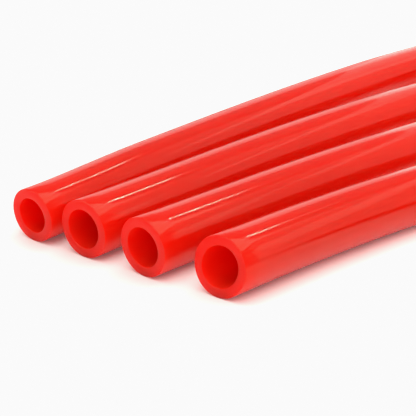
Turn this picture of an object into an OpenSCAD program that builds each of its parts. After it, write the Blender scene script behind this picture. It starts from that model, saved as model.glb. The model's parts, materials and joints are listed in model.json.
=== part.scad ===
// Four equal lengths of plain air hose, laid side by side on a flat surface.
// Their free ends lie staggered at the left (-X); the rest of each hose is wound
// into one shared round coil at the right (+X), which three straps hold together.
// The four hoses enter the coil as a ribbon, and each keeps a lane of its own.
// Millimetres, +Z up, the surface is z = 0 and the origin is the middle of the base.

/* [Hose] */
// Outer diameter of the hose
hose_d = 12; // [10:0.1:14.4]
// Diameter of the bore
bore_d = 8; // [6:0.1:9.6]
// Length that each hose is cut to
hose_length = 2500; // [2000:10:3000]

/* [Coil] */
// Radius of the innermost lane, to the middle of the hose
lane_radius = 54; // [48:1:66]
// Room left between one turn and the next
turn_gap = 0.4; // [0.3:0.1:1]

/* [Straps] */
// Width of each strap
strap_w = 12; // [10:0.5:15]
// Thickness of each strap
strap_t = 1.2; // [1:0.1:1.5]
// Room between a strap and the sides and top of the coil
strap_gap = 0.3; // [0.25:0.05:0.4]
// Angle from one strap to the next, round the coil
strap_step = 76; // [70:1:80]
// Angle of the first strap, from +X
strap_first = 98; // [90:1:99]

/* [Hidden] */

$fn = 64;
hose_colour = "#e8281f";
strap_colour = "#26282b";

// Middle lines of the free stretches, seen from above, from the cut end to the coil.
// Hose 1 lies furthest from the coil's centre and hose 4 nearest to it.
ROUTES = [
    [[-153.6, -66.5], [-140.5, -50.5], [-128.5, -35.5], [-118.5, -23], [-107.5, -9.5],
     [-97, 3], [-86, 15.5], [-73.5, 29], [-61, 41], [-48.5, 52], [-37, 61], [-25.5, 68.5],
     [-11.5, 75], [1.5, 79], [15.5, 82.5], [29.5, 86], [43, 89]],
    [[-142.5, -74.5], [-128, -58.5], [-116.5, -45.5], [-106, -34], [-96, -23.5], [-85.5, -13],
     [-75, -3], [-63.5, 7], [-52, 16], [-42, 23], [-30.5, 30], [-21.5, 35], [-12.5, 40.5],
     [-3.5, 47.5], [7, 57]],
    [[-130.5, -83.5], [-115.5, -68.5], [-104.5, -57.5], [-93, -46.5], [-82, -36.5], [-71, -27],
     [-60.5, -18.5], [-50.5, -11], [-40, -4], [-29.5, 2.5], [-17.5, 10.5], [-8, 19],
     [0.5, 29.5], [7.5, 39]],
    [[-116, -92.5], [-103, -80], [-92.5, -70.5], [-82.5, -62], [-70.5, -52.5], [-59.5, -44.5],
     [-49.5, -38], [-37.5, -31], [-27.5, -25.5], [-17, -19], [-7, -10.5], [1.5, 1], [7, 12],
     [12.5, 23.5]],
];
// Where each hose has joined its lane, as an angle from +X. The winding runs clockwise.
LANE_START = [92, 125, 133, 139];
// Every turn steps up onto the turn below it around this angle, ahead of the place
// where the free stretches pass under the coil.
STEP_ANGLE = 236;

// The routes suit this hose and this coil. A thicker hose moves them apart, and a larger
// coil grows away from where the hoses join it.
ROUTE_HOSE_D = 12;
ROUTE_LANE_RADIUS = 54;
ROUTE_COIL = [61, -0.5];
JOIN_ANGLE = 120;
// A hose climbs from the floor to the height of the straps over RAMP_POINTS points of its
// route, and is up RAMP_ENDS points before the coil.
RAMP_POINTS = 4;
RAMP_ENDS = 4;

SIDES = 12;
hose_r = hose_d / 2;
bore_r = bore_d / 2;
pitch = hose_d + turn_gap;
floor_z = hose_r;
first_turn_z = strap_t + hose_r;

function last(list) = len(list) - 1;
function unit(v) = v / norm(v);
function direction(angle) = [cos(angle), sin(angle)];
function lane_r(i) = lane_radius + (3 - i) * pitch;
coil_centre = ROUTE_COIL - (lane_radius - ROUTE_LANE_RADIUS) * direction(JOIN_ANGLE);

// Free stretch of hose i: its hand-laid points, then the start of its lane.
function laid_heading(i, k) = let (r = ROUTES[i]) unit(r[min(k + 1, last(r))] - r[max(k - 1, 0)]);
function moved(i, k) = let (h = laid_heading(i, k))
    ROUTES[i][k] + (3 - i) * (hose_d - ROUTE_HOSE_D) * [-h[1], h[0]];
// A hose that comes up beside its lane keeps out of the next lane in, within the room
// between turns.
function beside_lane(i, p) = let (v = p - coil_centre)
    coil_centre + v * max(1, (lane_r(i) - 0.6 * turn_gap) / norm(v));
function route(i) = concat([for (k = [0:last(ROUTES[i])]) beside_lane(i, moved(i, k))],
                           [coil_centre + lane_r(i) * direction(LANE_START[i])]);
function run_length(i) = let (r = route(i)) total([for (k = [1:last(r)]) norm(r[k] - r[k - 1])]);
function total(list) = list * [for (x = list) 1];

// How far hose i winds, in degrees, how many turns lie on each other at its highest,
// and how far the topmost of them reaches past the step up to it.
function wound(i) = (hose_length - run_length(i)) / (2 * PI * lane_r(i)) * 360;
function to_first_step(i) = LANE_START[i] + 360 - STEP_ANGLE;
function layers(i) = 1 + max(0, ceil((wound(i) - to_first_step(i)) / 360));
function top_sweep(i) = wound(i) - to_first_step(i) - 360 * (layers(i) - 2);
function layer_z(n) = first_turn_z + (n - 1) * pitch;

// Heading along a route at point k, as a unit vector.
function heading(i, k) = let (r = route(i))
    k <= 1 ? unit(r[1] - r[0])
    : k == last(r) ? [sin(LANE_START[i]), -cos(LANE_START[i])]
    : unit(r[k + 1] - r[k - 1]);
function ramp(i, k) = (k - last(route(i)) + RAMP_ENDS + RAMP_POINTS) / RAMP_POINTS;
function run_z(i, k) = let (t = min(1, max(0, ramp(i, k))))
    floor_z + (first_turn_z - floor_z) * t * t * (3 - 2 * t);

// One ring of points round the hose's middle line, at radius r.
function ring(i, k, r) = let (p = route(i)[k], h = heading(i, k), side = [h[1], -h[0]])
    [for (s = [0:SIDES - 1]) let (a = 360 * s / SIDES)
        [p[0] + side[0] * r * cos(a), p[1] + side[1] * r * cos(a), run_z(i, k) + r * sin(a)]];

// The cut end of hose i, straight and drilled, from its face to the run.
module hose_end(i) {
    face = route(i)[0];
    along = heading(i, 0);
    length = norm(route(i)[1] - face);
    color(hose_colour)
        translate([face[0], face[1], floor_z])
            rotate([0, 90, atan2(along[1], along[0])])
                difference() {
                    cylinder(h = length, r = hose_r);
                    translate([0, 0, -1]) cylinder(h = length + 2, r = bore_r);
                }
}

// The free stretch of hose i: one hollow tube swept along its route.
module hose_run(i) {
    rings = last(route(i));
    walls = [hose_r, bore_r];
    points = [for (w = walls) for (k = [1:rings]) each ring(i, k, w)];
    bore = rings * SIDES;
    far = (rings - 1) * SIDES;
    faces = concat(
        [for (k = [0:rings - 2]) for (s = [0:SIDES - 1]) let (n = (s + 1) % SIDES, a = k * SIDES)
            each [[a + s, a + n, a + n + SIDES], [a + s, a + n + SIDES, a + s + SIDES]]],
        [for (k = [0:rings - 2]) for (s = [0:SIDES - 1]) let (n = (s + 1) % SIDES, a = bore + k * SIDES)
            each [[a + n, a + s, a + s + SIDES], [a + n, a + s + SIDES, a + n + SIDES]]],
        [for (s = [0:SIDES - 1]) let (n = (s + 1) % SIDES)
            each [[n, s, bore + s], [n, bore + s, bore + n]]],
        [for (s = [0:SIDES - 1]) let (n = (s + 1) % SIDES)
            each [[far + s, far + n, bore + far + n], [far + s, bore + far + n, bore + far + s]]]
    );
    color(hose_colour) polyhedron(points, faces, convexity = 10);
}

// Outline of the turns from layer a to layer b in lane i, across the lane.
module turns_outline(i, a, b) {
    translate([lane_r(i), layer_z(a)]) circle(hose_r);
    translate([lane_r(i), layer_z(b)]) circle(hose_r);
    translate([lane_r(i) - hose_r, layer_z(a)]) square([hose_d, layer_z(b) - layer_z(a)]);
}

// Turns a to b of lane i, over a sweep that ends at the step angle or starts there.
module turns_from(i, a, b, angle, sweep) {
    rotate([0, 0, angle]) rotate_extrude(angle = sweep) turns_outline(i, a, b);
}

// The wound part of hose i, with the outer shape of its turns. The lowest turn stops short
// of where the free stretches come in under it, the turns above it go all the way round,
// and the topmost ends where the hose does.
module hose_coil(i) {
    top = layers(i);
    color(hose_colour) translate([coil_centre[0], coil_centre[1], 0]) {
        turns_from(i, 1, 2, STEP_ANGLE, to_first_step(i));
        rotate_extrude() turns_outline(i, 2, top - 1);
        turns_from(i, top - 1, top, STEP_ANGLE - top_sweep(i), top_sweep(i));
    }
}

// How many turns of lane i a strap at this angle goes over. One that ends just beside
// the strap still counts.
function turns_at(i, angle) =
    let (past_step = (STEP_ANGLE - angle + 720) % 360, beside = asin(strap_w / lane_r(i)))
    past_step < top_sweep(i) + beside ? layers(i) : layers(i) - 1;

// Outline round all four lanes at an angle, grown by g. The innermost turn bows inwards
// across the strap's width, and the outline leaves room for that.
inner_r = lane_r(3) - hose_r;
bow = inner_r - sqrt(inner_r * inner_r - strap_w * strap_w / 4);
module lanes_outline(angle, g) {
    hull()
        for (i = [0:3])
            for (n = [1, turns_at(i, angle)])
                translate([lane_r(i) - (i == 3 ? bow : 0), layer_z(n)])
                    circle(hose_r + g, $fn = 32);
}

// Strap k, closed round the coil. Its lower run lies flat between the floor and the turns.
module strap(k) {
    angle = strap_first - k * strap_step;
    reach = 2 * lane_r(0);
    color(strap_colour)
        translate([coil_centre[0], coil_centre[1], 0])
            rotate([90, 0, angle])
                linear_extrude(strap_w, center = true)
                    difference() {
                        intersection() {
                            lanes_outline(angle, strap_gap + strap_t);
                            square(reach);
                        }
                        intersection() {
                            lanes_outline(angle, strap_gap);
                            translate([0, strap_t]) square(reach);
                        }
                    }
}

hose_end(0);  // hose_1_end
hose_end(1);  // hose_2_end
hose_end(2);  // hose_3_end
hose_end(3);  // hose_4_end
hose_run(0);  // hose_1_run
hose_run(1);  // hose_2_run
hose_run(2);  // hose_3_run
hose_run(3);  // hose_4_run
hose_coil(0);  // hose_1_coil
hose_coil(1);  // hose_2_coil
hose_coil(2);  // hose_3_coil
hose_coil(3);  // hose_4_coil
strap(0);  // strap_1
strap(1);  // strap_2
strap(2);  // strap_3
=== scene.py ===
"""Four lengths of plain red polyurethane air hose and the coil they are wound into.

Each hose is one open tube, swept along its real route from the cut end through the free
stretch and round its lane of the coil. Three hook-and-loop straps hold the coil together.
Lengths are in metres; values in millimetres are multiplied by MM.
"""

import json
import math

import bpy
from bpy.props import FloatProperty, IntProperty, PointerProperty
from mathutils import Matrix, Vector


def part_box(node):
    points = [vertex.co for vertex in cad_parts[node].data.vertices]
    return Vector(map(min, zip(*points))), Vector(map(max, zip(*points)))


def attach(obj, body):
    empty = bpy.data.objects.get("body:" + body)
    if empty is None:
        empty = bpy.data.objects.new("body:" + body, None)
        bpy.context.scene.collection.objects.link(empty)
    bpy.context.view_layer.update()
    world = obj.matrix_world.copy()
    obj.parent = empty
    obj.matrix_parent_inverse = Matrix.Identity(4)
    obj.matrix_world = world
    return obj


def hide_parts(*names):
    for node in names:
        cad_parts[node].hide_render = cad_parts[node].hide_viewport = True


bl_info = {
    "name": "Air Hose Bundle",
    "version": (1, 0, 0),
    "blender": (4, 5, 0),
    "location": "View3D > Sidebar > Air Hose",
    "description": "Builds four lengths of polyurethane air hose wound into one strapped coil",
    "category": "Add Mesh",
}

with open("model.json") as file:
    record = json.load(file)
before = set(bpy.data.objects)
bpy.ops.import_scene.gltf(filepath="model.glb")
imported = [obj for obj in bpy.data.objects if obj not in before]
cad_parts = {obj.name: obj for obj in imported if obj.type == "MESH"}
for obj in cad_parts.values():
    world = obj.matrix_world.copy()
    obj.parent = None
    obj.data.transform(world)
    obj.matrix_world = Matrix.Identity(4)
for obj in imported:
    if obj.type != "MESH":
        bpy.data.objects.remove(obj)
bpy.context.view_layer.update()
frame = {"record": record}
BODY = "root"
MM = 0.001

# ---------------------------------------------------------------- what the frame says

HOSES = (1, 2, 3, 4)
STRAPS = (1, 2, 3)
MOUNTS = {mount["name"]: mount for mount in frame["record"]["mounts"]}
HOSE_D = 2 * MOUNTS["hose_1_outside"]["dims"]["r_mm"] * MM
BORE_D = 2 * MOUNTS["hose_1_bore"]["dims"]["r_mm"] * MM
HOSE_R = HOSE_D / 2


def lane_of(hose):
    """Centre (x, y) and radius of the lane that this hose is wound in."""
    low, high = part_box(f"hose_{hose}_coil")
    return (low + high).xy / 2, (high.x - low.x) / 2 - HOSE_R


COIL_CENTRE = lane_of(1)[0]
LANE_R = {hose: lane_of(hose)[1] for hose in HOSES}
PITCH = (LANE_R[1] - LANE_R[4]) / 3
FIRST_TURN_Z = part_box("hose_1_coil")[0].z + HOSE_R

# ---------------------------------------------------------------- routes of the hoses

HOSE_LENGTH = 2.5

# Middle lines of the free stretches, seen from above, in millimetres, from the cut end
# to the coil. Hose 1 lies furthest from the coil's centre and hose 4 nearest to it.
ROUTES = {
    1: [(-153.6, -66.5), (-140.5, -50.5), (-128.5, -35.5), (-118.5, -23), (-107.5, -9.5),
        (-97, 3), (-86, 15.5), (-73.5, 29), (-61, 41), (-48.5, 52), (-37, 61), (-25.5, 68.5),
        (-11.5, 75), (1.5, 79), (15.5, 82.5), (29.5, 86), (43, 89)],
    2: [(-142.5, -74.5), (-128, -58.5), (-116.5, -45.5), (-106, -34), (-96, -23.5),
        (-85.5, -13), (-75, -3), (-63.5, 7), (-52, 16), (-42, 23), (-30.5, 30), (-21.5, 35),
        (-12.5, 40.5), (-3.5, 47.5), (7, 57)],
    3: [(-130.5, -83.5), (-115.5, -68.5), (-104.5, -57.5), (-93, -46.5), (-82, -36.5),
        (-71, -27), (-60.5, -18.5), (-50.5, -11), (-40, -4), (-29.5, 2.5), (-17.5, 10.5),
        (-8, 19), (0.5, 29.5), (7.5, 39)],
    4: [(-116, -92.5), (-103, -80), (-92.5, -70.5), (-82.5, -62), (-70.5, -52.5),
        (-59.5, -44.5), (-49.5, -38), (-37.5, -31), (-27.5, -25.5), (-17, -19), (-7, -10.5),
        (1.5, 1), (7, 12), (12.5, 23.5)],
}
# Where each hose has joined its lane, in degrees from +X. The winding runs clockwise.
LANE_START = {1: 92, 2: 125, 3: 133, 4: 139}
# Each turn steps up onto the one below it around this angle, over this many degrees.
STEP_ANGLE = 236
STEP_SPREAD = 80
# A hose climbs from the floor to the height of the straps over four points of its
# route, and is up four points before the coil.
RAMP_POINTS = 4
RAMP_ENDS = 4
COIL_POINTS_PER_TURN = 24
# Distance between the points of a hose's finished middle line.
LINE_SPACING = 5 * MM


def smoothstep(t):
    t = min(1.0, max(0.0, t))
    return t * t * (3 - 2 * t)


def length_of(points):
    return sum((b - a).length for a, b in zip(points, points[1:]))


def free_stretch(hose):
    """The listed points of a hose, from its cut end up to its lane."""
    laid = ROUTES[hose]
    points = []
    for k, (x, y) in enumerate(laid):
        up = smoothstep((k - len(laid) + RAMP_ENDS + RAMP_POINTS) / RAMP_POINTS)
        points.append(Vector((x * MM, y * MM, HOSE_R + (FIRST_TURN_Z - HOSE_R) * up)))
    return points


def lane_point(hose, wound):
    """The middle of a hose after so many degrees of winding in its lane."""
    angle = math.radians(LANE_START[hose] - wound)
    steps, first = 0.0, LANE_START[hose] + 360 - STEP_ANGLE - STEP_SPREAD / 2
    while first < wound:
        steps += smoothstep((wound - first) / STEP_SPREAD)
        first += 360
    return Vector((
        COIL_CENTRE.x + LANE_R[hose] * math.cos(angle),
        COIL_CENTRE.y + LANE_R[hose] * math.sin(angle),
        FIRST_TURN_Z + PITCH * steps,
    ))


def wound_degrees(hose):
    free = free_stretch(hose) + [lane_point(hose, 0)]
    return math.degrees((HOSE_LENGTH - length_of(free)) / LANE_R[hose])


FINE_STEPS = 12


def even_curve(points, spacing):
    """A smooth curve through the points, as points that lie the same distance apart."""
    ends = [2 * points[0] - points[1], *points, 2 * points[-1] - points[-2]]
    fine = []
    for a, b, c, d in zip(ends, ends[1:], ends[2:], ends[3:]):
        for t in (k / FINE_STEPS for k in range(FINE_STEPS)):
            fine.append(0.5 * (2 * b + (c - a) * t + (2 * a - 5 * b + 4 * c - d) * t * t
                               + (3 * b - a - 3 * c + d) * t * t * t))
    fine.append(points[-1].copy())
    count = round(length_of(fine) / spacing)
    step, walked, even = length_of(fine) / count, 0.0, [fine[0]]
    for a, b in zip(fine, fine[1:]):
        piece = (b - a).length
        while walked + piece >= step * len(even) - 1e-9 and len(even) < count:
            even.append(a.lerp(b, (step * len(even) - walked) / piece))
        walked += piece
    return even + [fine[-1]]


def centreline(hose):
    """The whole route of a hose, cut end to far end."""
    turn = 360 / COIL_POINTS_PER_TURN
    total = wound_degrees(hose)
    count = math.ceil(total / turn)
    coil = [lane_point(hose, total * k / count) for k in range(count + 1)]
    return even_curve(free_stretch(hose) + coil, LINE_SPACING)


# ---------------------------------------------------------------- materials

def linear(hex_colour):
    """An sRGB hex colour as the linear RGBA that shaders take."""
    channels = [int(hex_colour[k:k + 2], 16) / 255 for k in (1, 3, 5)]
    return [c / 12.92 if c <= 0.04045 else ((c + 0.055) / 1.055) ** 2.4 for c in channels] + [1.0]


def add(tree, kind, links=(), **settings):
    """Adds a node. Settings are its properties or, for the rest, its inputs by name."""
    node = tree.nodes.new(kind)
    inputs = settings.pop("inputs", {})
    for name, value in settings.items():
        setattr(node, name, value)
    for name, value in inputs.items():
        node.inputs[name].default_value = value
    for source, name in links:
        tree.links.new(source, node.inputs[name])
    return node


def new_material(name):
    material = bpy.data.materials.new(name)
    material.use_nodes = True
    material.node_tree.nodes.clear()
    return material, material.node_tree


def finish_material(tree, shader):
    add(tree, "ShaderNodeOutputMaterial", [(shader.outputs["BSDF"], "Surface")])


# How far red, green and blue light travels inside the plastic: red glows through it.
GLOW = {"Subsurface Weight": 1.0, "Subsurface Radius": (12.0, 0.4, 0.25),
        "Subsurface Scale": 1.0 * MM}
DIE_LINE_WIDTH, DIE_LINE_LENGTH = 0.9 * MM, 180 * MM
COLOUR_DRIFT = 14 * MM
BLADE_STROKE_LENGTH, BLADE_STROKE_WIDTH = 2.5 * MM, 0.3 * MM


def extruded_polyurethane(name, colour, roughness):
    """Polyurethane, drawn through a die: glossy and slightly cloudy, with faint lines
    along its length and a colour that drifts a little."""
    material, tree = new_material(name)
    straight = add(tree, "ShaderNodeAttribute", attribute_name="straight")
    # Die lines: narrow round the hose, drawn out along it.
    stretched = add(tree, "ShaderNodeMapping", [(straight.outputs["Vector"], "Vector")],
                    inputs={"Scale": (1 / DIE_LINE_WIDTH, 1 / DIE_LINE_WIDTH, 1 / DIE_LINE_LENGTH)})
    lines = add(tree, "ShaderNodeTexNoise", [(stretched.outputs["Vector"], "Vector")],
                inputs={"Scale": 1.0, "Detail": 2.0})
    drift = add(tree, "ShaderNodeTexNoise", [(straight.outputs["Vector"], "Vector")],
                inputs={"Scale": 1 / COLOUR_DRIFT, "Detail": 1.0})
    tone = add(tree, "ShaderNodeMapRange", [(drift.outputs["Fac"], "Value")],
               inputs={"From Min": 0.3, "From Max": 0.7, "To Min": 0.0, "To Max": 1.0})
    mix = add(tree, "ShaderNodeMix", [(tone.outputs["Result"], "Factor")], data_type="RGBA")
    red = linear(colour)
    mix.inputs[6].default_value = red
    mix.inputs[7].default_value = [red[0] * 0.94, red[1] * 0.8, red[2] * 0.8, 1]
    rough = add(tree, "ShaderNodeMapRange", [(lines.outputs["Fac"], "Value")],
                inputs={"From Min": 0.25, "From Max": 0.75,
                        "To Min": roughness - 0.02, "To Max": roughness + 0.03})
    bump = add(tree, "ShaderNodeBump", [(lines.outputs["Fac"], "Height")],
               inputs={"Strength": 0.03, "Distance": 0.03 * MM})
    shader = add(tree, "ShaderNodeBsdfPrincipled",
                 [(mix.outputs[2], "Base Color"), (rough.outputs["Result"], "Roughness"),
                  (bump.outputs["Normal"], "Normal")],
                 inputs={"Specular IOR Level": 0.32, "Specular Tint": (1.0, 0.86, 0.6, 1), **GLOW})
    finish_material(tree, shader)
    return material


def cut_polyurethane(name, colour):
    """The same plastic where a knife went through: satin, with fine lines from the blade."""
    material, tree = new_material(name)
    place = add(tree, "ShaderNodeTexCoord")
    strokes = add(tree, "ShaderNodeMapping", [(place.outputs["Object"], "Vector")],
                  inputs={"Rotation": (0.4, 0.2, 0.3),
                          "Scale": (1 / BLADE_STROKE_LENGTH, 1 / BLADE_STROKE_LENGTH,
                                    1 / BLADE_STROKE_WIDTH)})
    blade = add(tree, "ShaderNodeTexNoise", [(strokes.outputs["Vector"], "Vector")],
                inputs={"Scale": 1.0, "Detail": 3.0})
    rough = add(tree, "ShaderNodeMapRange", [(blade.outputs["Fac"], "Value")],
                inputs={"To Min": 0.34, "To Max": 0.56})
    bump = add(tree, "ShaderNodeBump", [(blade.outputs["Fac"], "Height")],
               inputs={"Strength": 0.25, "Distance": 0.06 * MM})
    shader = add(tree, "ShaderNodeBsdfPrincipled",
                 [(rough.outputs["Result"], "Roughness"), (bump.outputs["Normal"], "Normal")],
                 inputs={"Base Color": linear(colour), "Specular IOR Level": 0.16, **GLOW})
    finish_material(tree, shader)
    return material


# ---------------------------------------------------------------- hoses

def curve_through(name, points, closed=False):
    """A curve object that runs straight from point to point."""
    curve = bpy.data.curves.new(name, "CURVE")
    curve.dimensions = "3D"
    curve.twist_mode = "Z_UP"
    spline = curve.splines.new("POLY")
    spline.points.add(len(points) - 1)
    for target, point in zip(spline.points, points):
        target.co = (*point, 1)
    spline.use_cyclic_u = closed
    return bpy.data.objects.new(name, curve)


def sweep_tree(flat):
    """Geometry Nodes that sweep a section along a curve: a flat band's, or an open tube's
    whose first face leans and is pressed down a little."""
    tree = bpy.data.node_groups.new("Band along a route" if flat else "Hose along a route",
                                    "GeometryNodeTree")
    face = tree.interface
    face.new_socket("Geometry", in_out="OUTPUT", socket_type="NodeSocketGeometry")
    face.new_socket("Geometry", in_out="INPUT", socket_type="NodeSocketGeometry")
    for name, kind in (("Diameter", "NodeSocketFloat"), ("Sides", "NodeSocketInt"),
                       ("Cut Lean", "NodeSocketVector"), ("Lean Reach", "NodeSocketFloat"),
                       ("Flatten", "NodeSocketVector"), ("Flatten Reach", "NodeSocketFloat"),
                       ("Width", "NodeSocketFloat"), ("Thickness", "NodeSocketFloat"),
                       ("Edge", "NodeSocketFloat"), ("Level", "NodeSocketVector"),
                       ("Material", "NodeSocketMaterial")):
        face.new_socket(name, in_out="INPUT", socket_type=kind)
    given = add(tree, "NodeGroupInput").outputs

    route = add(tree, "GeometryNodeCaptureAttribute", domain="POINT")
    for kind, name in (("FLOAT", "Along"), ("VECTOR", "Heading"), ("VECTOR", "Middle")):
        route.capture_items.new(kind, name)
    tree.links.new(given["Geometry"], route.inputs["Geometry"])
    for kind, output, name in (("GeometryNodeSplineParameter", "Length", "Along"),
                               ("GeometryNodeInputTangent", "Tangent", "Heading"),
                               ("GeometryNodeInputPosition", "Position", "Middle")):
        tree.links.new(add(tree, kind).outputs[output], route.inputs[name])

    radius = add(tree, "ShaderNodeMath", [(given["Diameter"], 0)], operation="MULTIPLY")
    radius.inputs[1].default_value = 0.5
    if flat:
        ring = add(tree, "GeometryNodeCurvePrimitiveQuadrilateral",
                   [(given["Width"], "Width"), (given["Thickness"], "Height")])
        ring = add(tree, "GeometryNodeFilletCurve",
                   [(ring.outputs["Curve"], "Curve"), (given["Edge"], "Radius")],
                   mode="POLY", inputs={"Count": 3})
        line = add(tree, "GeometryNodeSetCurveNormal",
                   [(route.outputs["Geometry"], "Curve"), (given["Level"], "Normal")], mode="FREE")
        line = line.outputs["Curve"]
    else:
        ring = add(tree, "GeometryNodeCurvePrimitiveCircle",
                   [(radius.outputs[0], "Radius"), (given["Sides"], "Resolution")])
        line = route.outputs["Geometry"]
    section = add(tree, "GeometryNodeCaptureAttribute", [(ring.outputs["Curve"], "Geometry")],
                  domain="POINT")
    section.capture_items.new("VECTOR", "Section")
    tree.links.new(add(tree, "GeometryNodeInputPosition").outputs["Position"],
                   section.inputs["Section"])
    tube = add(tree, "GeometryNodeCurveToMesh",
               [(line, "Curve"), (section.outputs["Geometry"], "Profile Curve")],
               inputs={"Fill Caps": flat})

    here = add(tree, "GeometryNodeInputPosition")
    out = add(tree, "ShaderNodeVectorMath",
              [(here.outputs["Position"], 0), (route.outputs["Middle"], 1)], operation="SUBTRACT")

    def near_the_cut(reach):
        """1 at the cut, easing to 0 at this distance from it."""
        return add(tree, "ShaderNodeMapRange",
                   [(route.outputs["Along"], "Value"), (reach, "From Max")],
                   interpolation_type="SMOOTHSTEP",
                   inputs={"From Min": 0.0, "To Min": 1.0, "To Max": 0.0}).outputs["Result"]

    # The blade went through at a slant: points slide along the hose.
    lean = add(tree, "ShaderNodeVectorMath",
               [(out.outputs["Vector"], 0), (given["Cut Lean"], 1)], operation="DOT_PRODUCT")
    lean = add(tree, "ShaderNodeMath",
               [(lean.outputs["Value"], 0), (near_the_cut(given["Lean Reach"]), 1)],
               operation="MULTIPLY")
    lean = add(tree, "ShaderNodeVectorMath",
               [(route.outputs["Heading"], 0), (lean.outputs[0], "Scale")], operation="SCALE")
    # The blade pressed the end down: points move against "Flatten", the far side most.
    side = add(tree, "ShaderNodeVectorMath",
               [(out.outputs["Vector"], 0), (given["Flatten"], 1)], operation="DOT_PRODUCT")
    size = add(tree, "ShaderNodeVectorMath", [(given["Flatten"], 0)], operation="LENGTH")
    press = add(tree, "ShaderNodeMath",
                [(size.outputs["Value"], 0), (radius.outputs[0], 1), (side.outputs["Value"], 2)],
                operation="MULTIPLY_ADD")
    press = add(tree, "ShaderNodeMath",
                [(press.outputs[0], 0), (near_the_cut(given["Flatten Reach"]), 1)],
                operation="MULTIPLY")
    press = add(tree, "ShaderNodeVectorMath",
                [(given["Flatten"], 0), (press.outputs[0], "Scale")], operation="SCALE")
    shift = add(tree, "ShaderNodeVectorMath",
                [(lean.outputs["Vector"], 0), (press.outputs["Vector"], 1)], operation="SUBTRACT")
    leaned = add(tree, "GeometryNodeSetPosition",
                 [(tube.outputs["Mesh"], "Geometry"), (shift.outputs["Vector"], "Offset")])

    split = add(tree, "ShaderNodeSeparateXYZ", [(section.outputs["Section"], "Vector")])
    straight = add(tree, "ShaderNodeCombineXYZ",
                   [(split.outputs["X"], "X"), (split.outputs["Y"], "Y"),
                    (route.outputs["Along"], "Z")])
    stored = add(tree, "GeometryNodeStoreNamedAttribute",
                 [(leaned.outputs["Geometry"], "Geometry"), (straight.outputs["Vector"], "Value")],
                 data_type="FLOAT_VECTOR", domain="POINT", inputs={"Name": "straight"})
    smooth = add(tree, "GeometryNodeSetShadeSmooth", [(stored.outputs["Geometry"], "Geometry")],
                 inputs={"Shade Smooth": True})
    real = add(tree, "GeometryNodeRealizeInstances", [(smooth.outputs["Geometry"], "Geometry")])
    painted = add(tree, "GeometryNodeSetMaterial",
                  [(real.outputs["Geometry"], "Geometry"), (given["Material"], "Material")])
    add(tree, "NodeGroupOutput", [(painted.outputs["Geometry"], "Geometry")])
    return tree


def with_nodes(obj, tree, values):
    """Puts a Geometry Nodes modifier on an object, with its inputs by name."""
    modifier = obj.modifiers.new(tree.name, "NODES")
    modifier.node_group = tree
    for item in tree.interface.items_tree:
        if item.item_type == "SOCKET" and item.in_out == "INPUT" and item.name in values:
            modifier[item.identifier] = values[item.name]
    return modifier


def baked(obj, name):
    """The evaluated object as a plain mesh object at the origin; the source is removed."""
    bpy.context.view_layer.update()
    graph = bpy.context.evaluated_depsgraph_get()
    mesh = bpy.data.meshes.new_from_object(obj.evaluated_get(graph), depsgraph=graph)
    mesh.name = name
    result = bpy.data.objects.new(name, mesh)
    bpy.context.scene.collection.objects.link(result)
    bpy.data.objects.remove(obj)
    return result


class HoseSettings(bpy.types.PropertyGroup):
    outer_diameter: FloatProperty(name="Outer Diameter", description="Outer diameter of the hose",
                                  default=HOSE_D, unit="LENGTH")
    bore_diameter: FloatProperty(name="Bore Diameter", description="Diameter of the bore",
                                 default=BORE_D, unit="LENGTH")
    edge: FloatProperty(name="Edge", description="Width of the soft edge at a cut",
                        default=0.18 * MM, unit="LENGTH")
    sides: IntProperty(name="Sides", description="Faces round the hose", default=48, min=12)
    lean_reach: FloatProperty(name="Lean Reach", default=0.012, unit="LENGTH",
                              description="Length over which an uneven cut evens out")
    flatten_reach: FloatProperty(name="Flatten Reach", default=0.035, unit="LENGTH",
                                 description="Length over which a flattened end is round again")
    strap_width: FloatProperty(name="Strap Width", description="Width of each strap",
                               default=12 * MM, unit="LENGTH")
    strap_overlap: FloatProperty(name="Strap Overlap", default=0.026, unit="LENGTH",
                                 description="Length of strap that laps over its own start")
    strap_edge: FloatProperty(name="Strap Edge", description="Rounding of a strap's edges",
                              default=0.35 * MM, unit="LENGTH")


# How far each cut leans, as a slope away from square, across (x, y) and up (z).
CUT_LEAN = {1: (-0.045, 0.037, -0.075), 2: (0.023, -0.021, -0.014),
            3: (0.019, -0.019, -0.023), 4: (0.079, -0.083, 0.102)}
# How much the blade has flattened each end, from the upper left down onto the floor.
FLATTENED = {1: 0.06, 2: 0.0, 3: 0.0, 4: 0.0}
FLATTENED_FROM = Vector((-0.39, 0.32, 0.87)).normalized()


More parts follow.
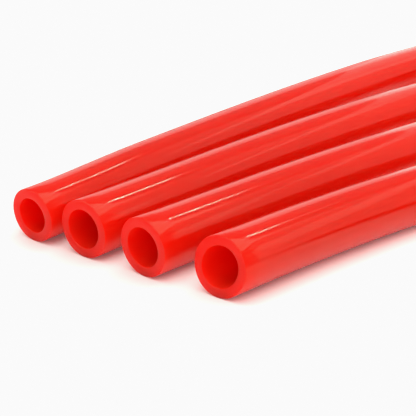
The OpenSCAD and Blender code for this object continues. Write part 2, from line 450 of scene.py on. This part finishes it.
class AIRHOSE_OT_hoses(bpy.types.Operator):
    """Sweep the four hoses along their routes, cut end to far end"""

    bl_idname = "airhose.hoses"
    bl_label = "Hoses"

    def execute(self, context):
        settings = context.scene.air_hose
        tree = sweep_tree(flat=False)
        wall = extruded_polyurethane("Extruded polyurethane, gloss red", "#f01e0f", 0.065)
        cut = cut_polyurethane("Knife-cut polyurethane, satin red", "#dc1b0e")
        for hose in HOSES:
            line = centreline(hose)
            source = curve_through(f"route_{hose}", line)
            bpy.context.scene.collection.objects.link(source)
            with_nodes(source, tree, {
                "Diameter": settings.outer_diameter, "Sides": settings.sides,
                "Cut Lean": CUT_LEAN[hose], "Lean Reach": settings.lean_reach,
                "Flatten": FLATTENED_FROM * math.sqrt(FLATTENED[hose]),
                "Flatten Reach": settings.flatten_reach, "Material": wall,
            })
            piece = baked(source, f"hose_{hose}")
            piece.data.materials.append(cut)
            shell = piece.modifiers.new("Wall", "SOLIDIFY")
            shell.thickness = (settings.outer_diameter - settings.bore_diameter) / 2
            shell.offset = -1
            shell.material_offset_rim = 1
            edge = piece.modifiers.new("Cut edge", "BEVEL")
            edge.width = settings.edge
            edge.segments = 2
            edge.limit_method = "ANGLE"
            edge.angle_limit = math.radians(60)
            piece = baked(piece, f"hose_{hose}_piece")
            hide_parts(f"hose_{hose}_end", f"hose_{hose}_run", f"hose_{hose}_coil")
            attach(piece, BODY)
        return {"FINISHED"}


# ---------------------------------------------------------------- straps

# The turns stand on the straps, so the lowest one shows how thick a strap is.
STRAP_T = FIRST_TURN_Z - HOSE_R
STRAP_GAP = 0.3 * MM
# Room between the two layers where a strap laps over itself.
LAP_GAP = 0.05 * MM
STRAP_POINT_SPACING = 1 * MM
# Points of a strap's route over which its end climbs onto its start.
LAP_CLIMB = 8
ROUND_POINTS = 48


def strap_place(strap):
    """Angle of a strap round the coil, in degrees from +X."""
    low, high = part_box(f"strap_{strap}")
    middle = (low + high).xy / 2 - COIL_CENTRE
    return math.degrees(math.atan2(middle.y, middle.x))


def highest_turn(hose, angle, reach):
    """Height of the middle of a lane's topmost turn near this angle."""
    way, top = Vector((math.cos(angle), math.sin(angle))), FIRST_TURN_Z
    for point in centreline(hose):
        out = point.xy - COIL_CENTRE
        if out.dot(way) > 0 and abs(out.cross(way)) < reach and abs(out.length - LANE_R[hose]) < MM:
            top = max(top, point.z)
    return top


def hull(points):
    """Convex hull of points in a plane, anticlockwise."""
    def half(ordered):
        chain = []
        for point in ordered:
            while len(chain) > 1 and (chain[-1] - chain[-2]).cross(point - chain[-2]) <= 0:
                chain.pop()
            chain.append(point)
        return chain[:-1]
    ordered = sorted(points, key=lambda p: (p.x, p.y))
    return half(ordered) + half(ordered[::-1])


def strap_outline(angle, width, grown):
    """Middle line of a strap in its own upright plane, as (distance out, height)."""
    inner = LANE_R[4] - HOSE_R
    bow = inner - math.sqrt(inner * inner - width * width / 4)
    round_turns = []
    for hose in HOSES:
        for height in (FIRST_TURN_Z, highest_turn(hose, angle, width)):
            centre = Vector((LANE_R[hose] - (bow if hose == 4 else 0), height))
            for k in range(ROUND_POINTS):
                turn = math.radians(360 / ROUND_POINTS * k)
                round_turns.append(centre + (HOSE_R + grown)
                                   * Vector((math.cos(turn), math.sin(turn))))
    outline = hull(round_turns)
    return [Vector((p.x, max(p.y, STRAP_T / 2))) for p in outline]


def strap_path(angle, width, overlap):
    """Route of a strap from its fixed end, once round the turns and on over its own start."""
    loop = strap_outline(angle, width, STRAP_GAP + STRAP_T / 2)
    middle = (min(p.y for p in loop) + max(p.y for p in loop)) / 2
    start = min(range(len(loop)), key=lambda k: abs(loop[k].y - middle) - loop[k].x)
    loop = loop[start:] + loop[:start + 1]
    way = Vector((math.cos(angle), math.sin(angle)))
    once = even_curve([Vector((p.x, p.y, 0)) for p in loop], STRAP_POINT_SPACING)
    count = len(once) - 1
    path = []
    for k in range(count + round(overlap / STRAP_POINT_SPACING)):
        p, q = once[k % count], once[(k + 1) % count]
        normal = Vector((q.y - p.y, p.x - q.x)).normalized()
        lift = smoothstep((k - count + LAP_CLIMB) / LAP_CLIMB) * (STRAP_T + LAP_GAP)
        p = p.xy + normal * lift
        path.append(Vector((*(COIL_CENTRE + way * p.x), p.y)))
    return path


def loop_faced_strap(name, colour):
    """Hook-and-loop strap: a matt pile of tiny loops."""
    material, tree = new_material(name)
    straight = add(tree, "ShaderNodeAttribute", attribute_name="straight")
    loops = add(tree, "ShaderNodeTexVoronoi", [(straight.outputs["Vector"], "Vector")],
                inputs={"Scale": 1 / (0.55 * MM), "Randomness": 0.8})
    fuzz = add(tree, "ShaderNodeTexNoise", [(straight.outputs["Vector"], "Vector")],
               inputs={"Scale": 1 / (0.2 * MM), "Detail": 3.0})
    height = add(tree, "ShaderNodeMath",
                 [(fuzz.outputs["Fac"], 0), (loops.outputs["Distance"], 1)], operation="SUBTRACT")
    # The colour follows the bump height: painted highlight on the loop tops and painted shade in
    # the hollows between loops, with some random tone from the fuzz noise as well.
    dark, light = linear(colour), linear("#4a4d52")
    mix = add(tree, "ShaderNodeMix", [(height.outputs[0], "Factor")], data_type="RGBA")
    mix.inputs[6].default_value = dark
    mix.inputs[7].default_value = light
    bump = add(tree, "ShaderNodeBump", [(height.outputs[0], "Height")],
               inputs={"Strength": 0.7, "Distance": 0.3 * MM})
    shader = add(tree, "ShaderNodeBsdfPrincipled",
                 [(mix.outputs[2], "Base Color"), (bump.outputs["Normal"], "Normal")],
                 inputs={"Roughness": 0.92, "Sheen Weight": 0.35, "Specular IOR Level": 0.2})
    finish_material(tree, shader)
    return material


class AIRHOSE_OT_straps(bpy.types.Operator):
    """Close the three straps round the coil, each with its end lapped over itself"""

    bl_idname = "airhose.straps"
    bl_label = "Straps"

    def execute(self, context):
        settings = context.scene.air_hose
        tree = sweep_tree(flat=True)
        cloth = loop_faced_strap("Hook-and-loop strap, charcoal", "#26282b")
        for strap in STRAPS:
            angle = math.radians(strap_place(strap))
            source = curve_through(f"strap_route_{strap}",
                                   strap_path(angle, settings.strap_width, settings.strap_overlap))
            context.scene.collection.objects.link(source)
            with_nodes(source, tree, {
                "Width": settings.strap_width, "Thickness": STRAP_T, "Edge": settings.strap_edge,
                "Level": Vector((-math.sin(angle), math.cos(angle), 0)), "Material": cloth,
            })
            piece = baked(source, f"strap_{strap}_piece")
            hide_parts(f"strap_{strap}")
            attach(piece, BODY)
        return {"FINISHED"}


# ---------------------------------------------------------------- stage

LENS_MM = 114.2
CAMERA_PLACE = (-118.11 * MM, -312.28 * MM, 105 * MM)
CAMERA_LOOKS_DOWN = 21.68
FLOOR_HALF = 4.0
WORLD_STRENGTH = 0.4
# White is held just under the top of the scale, as in an evenly lit product shot.
WHITE_LEVEL = 0.957
LIGHT_COLOUR = "#fffcf6"
# Name, place, aim, size (across, up) and brightness of each light. The side fill stands in
# for pale surroundings that the coil hides from the free stretches.
LIGHTS = (
    ("overhead softbox", (-0.073, -0.3, 1.2), (-0.073, -0.299, 0), (2.0, 1.6), 2.07),
    ("right softbox", (0.927, 0.3, 0.77), (-0.073, 0, 0), (0.9, 0.6), 0.45),
    ("front fill", (-0.873, -1.1, 0.6), (-0.103, -0.05, 0), (0.9, 0.8), 1.45),
    ("back glow", (0.027, 1.5, 0.5), (0.027, 0.0, 0.5), (2.6, 0.7), 0.67),
    ("strip light", (0.452, 0.67, 1.14), (-0.119, -0.07, 0.01), (0.01, 0.18), 150.0),
    ("side fill", (-0.041, 0.02, 0.04), (-0.173, 0.0, 0.04), (0.26, 0.056), 0.84),
)


class AIRHOSE_OT_stage(bpy.types.Operator):
    """Add the camera, a plain pale floor and soft studio light"""

    bl_idname = "airhose.stage"
    bl_label = "Stage"

    def execute(self, context):
        scene = context.scene
        lens = bpy.data.cameras.new("camera")
        lens.sensor_width = 36
        lens.lens = LENS_MM
        lens.clip_start = 0.01
        camera = bpy.data.objects.new("camera", lens)
        camera.location = CAMERA_PLACE
        camera.rotation_euler = (math.radians(90 - CAMERA_LOOKS_DOWN), 0, 0)
        scene.collection.objects.link(camera)
        scene.camera = camera

        floor = bpy.data.meshes.new("floor")
        half = FLOOR_HALF
        floor.from_pydata([(-half, -half, 0), (half, -half, 0), (half, half, 0), (-half, half, 0)],
                          [], [(0, 1, 2, 3)])
        material, tree = new_material("White studio sweep, satin")
        shader = add(tree, "ShaderNodeBsdfPrincipled",
                     inputs={"Base Color": linear("#f8f8f8"), "Roughness": 0.5,
                             "Emission Color": linear("#ffffff"), "Emission Strength": 0.06})
        finish_material(tree, shader)
        floor.materials.append(material)
        surface = bpy.data.objects.new("floor", floor)
        scene.collection.objects.link(surface)

        world = bpy.data.worlds.new("soft light")
        world.use_nodes = True
        background = world.node_tree.nodes["Background"]
        background.inputs["Color"].default_value = linear("#fffdf8")
        background.inputs["Strength"].default_value = WORLD_STRENGTH
        scene.world = world
        scene.view_settings.view_transform = "Standard"
        scene.view_settings.use_curve_mapping = True
        tones = scene.view_settings.curve_mapping
        tones.extend = "HORIZONTAL"
        top = tones.curves[3].points[1]
        top.location = (WHITE_LEVEL, WHITE_LEVEL)
        top.handle_type = tones.curves[3].points[0].handle_type = "VECTOR"
        tones.update()

        for name, place, aim, size, brightness in LIGHTS:
            light = bpy.data.lights.new(name, "AREA")
            light.shape = "RECTANGLE"
            light.size, light.size_y = size
            light.energy = math.pi * size[0] * size[1] * brightness
            light.color = linear(LIGHT_COLOUR)[:3]
            lamp = bpy.data.objects.new(name, light)
            lamp.location = place
            lamp.rotation_euler = (Vector(aim) - Vector(place)).to_track_quat("-Z", "Y").to_euler()
            lamp.visible_camera = False
            scene.collection.objects.link(lamp)
        return {"FINISHED"}


class AIRHOSE_PT_panel(bpy.types.Panel):
    """Lists the steps that build the hose bundle"""

    bl_idname = "AIRHOSE_PT_panel"
    bl_label = "Air Hose"
    bl_space_type = "VIEW_3D"
    bl_region_type = "UI"
    bl_category = "Air Hose"

    def draw(self, context):
        settings = context.scene.air_hose
        for name in settings.__annotations__:
            self.layout.prop(settings, name)
        for step in (AIRHOSE_OT_stage, AIRHOSE_OT_straps, AIRHOSE_OT_hoses):
            self.layout.operator(step.bl_idname)


CLASSES = (HoseSettings, AIRHOSE_OT_stage, AIRHOSE_OT_straps, AIRHOSE_OT_hoses, AIRHOSE_PT_panel)


def register():
    for cls in CLASSES:
        bpy.utils.register_class(cls)
    bpy.types.Scene.air_hose = PointerProperty(type=HoseSettings)


def unregister():
    del bpy.types.Scene.air_hose
    for cls in reversed(CLASSES):
        bpy.utils.unregister_class(cls)


def main():
    register()
    bpy.ops.airhose.stage()
    bpy.ops.airhose.straps()
    bpy.ops.airhose.hoses()


if __name__ == "__main__":
    main()
